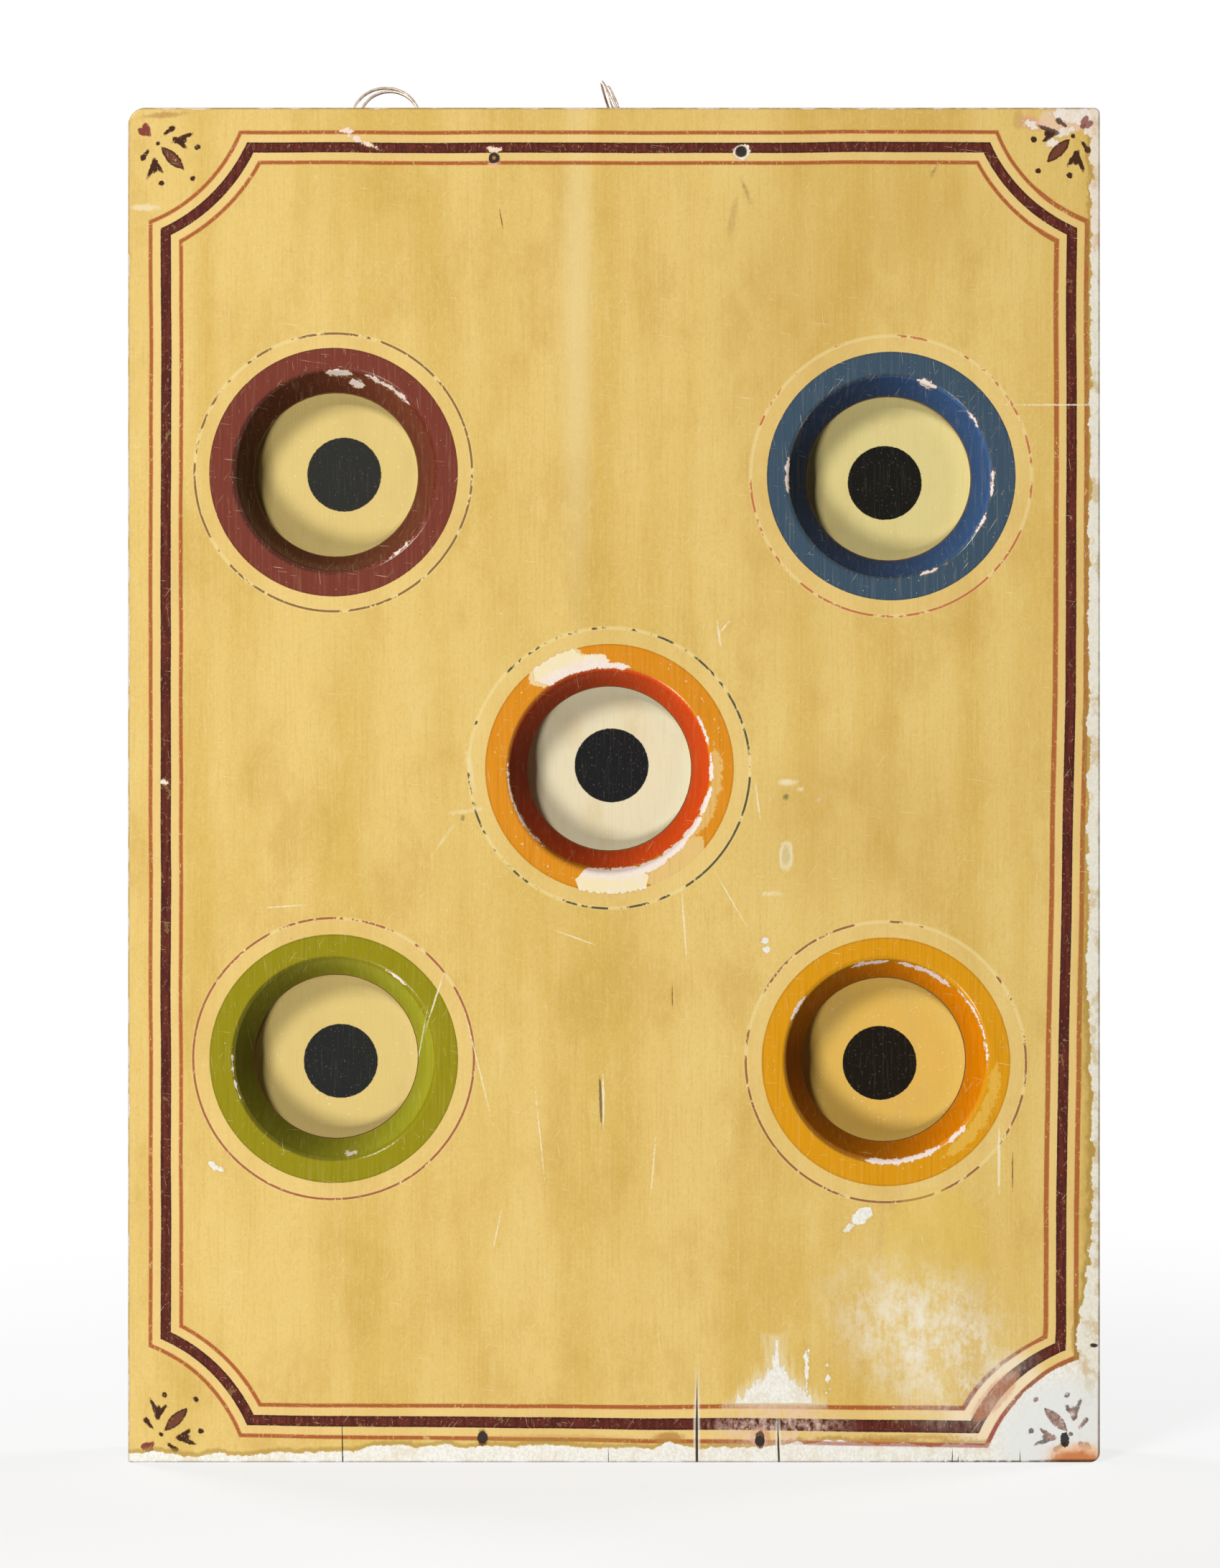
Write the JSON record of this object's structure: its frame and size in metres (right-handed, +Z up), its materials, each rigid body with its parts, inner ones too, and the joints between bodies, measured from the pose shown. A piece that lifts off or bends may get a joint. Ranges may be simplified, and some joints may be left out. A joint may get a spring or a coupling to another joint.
{
  "type": "skill game board",
  "caption": "Upright painted wooden target board with ringed tapering holes, a dished target set behind each, a scooped border and split rings at the top for hanging.",
  "frame": {"origin": "middle of the foot, at half the depth, on the surface that the board stands on", "axes": "+X to the right seen from the front, +Y towards the back, +Z up"},
  "size_m": [0.5, 0.058, 0.717],
  "materials": {
    "painted_front": "yellow cream paint under gloss varnish",
    "painted_target": "cream paint with a black dot, satin",
    "frame_timber": "bare planed softwood, darkened with age",
    "back_timber": "bare sawn softwood, darkened with age",
    "eye_wire": "dull steel, lightly rusted",
    "ring_wire": "worn nickel plate",
    "nail_iron": "dark rusted iron",
    "screw_steel": "dull steel"
  },
  "bodies": {
    "board": {"front_plank_left": "painted_front", "front_plank_middle": "painted_front", "front_plank_right": "painted_front", "stile_left": "frame_timber", "stile_right": "frame_timber", "post_left": "frame_timber", "post_right": "frame_timber", "top_rail_left": "frame_timber", "top_rail_middle": "frame_timber", "top_rail_right": "frame_timber", "bottom_rail_left": "frame_timber", "bottom_rail_middle": "frame_timber", "bottom_rail_right": "frame_timber", "back_board_left": "back_timber", "back_board_middle": "back_timber", "back_board_right": "back_timber", "target_upper_left": "painted_target", "target_upper_right": "painted_target", "target_centre": "painted_target", "target_lower_left": "painted_target", "target_lower_right": "painted_target", "screw_eye_left": "eye_wire", "screw_eye_right": "eye_wire", "face_nails": "nail_iron", "frame_nails": "nail_iron", "back_screws": "screw_steel", "target_screws": "screw_steel"},
    "left_ring": {"split_ring_left": "ring_wire"},
    "right_ring": {"split_ring_right": "ring_wire"}
  },
  "joints": [
    {"name": "left_ring_swing", "type": "hinge", "parent": "board", "child": "left_ring", "pos_m": [-0.1198, 0.0102, 0.6836], "axis": [-1, 0, 0], "range_deg": [-66, 76]},
    {"name": "right_ring_swing", "type": "hinge", "parent": "board", "child": "right_ring", "pos_m": [0.008, 0.0102, 0.6849], "axis": [0, 1, 0], "range_deg": [-72, 118]}
  ]
}
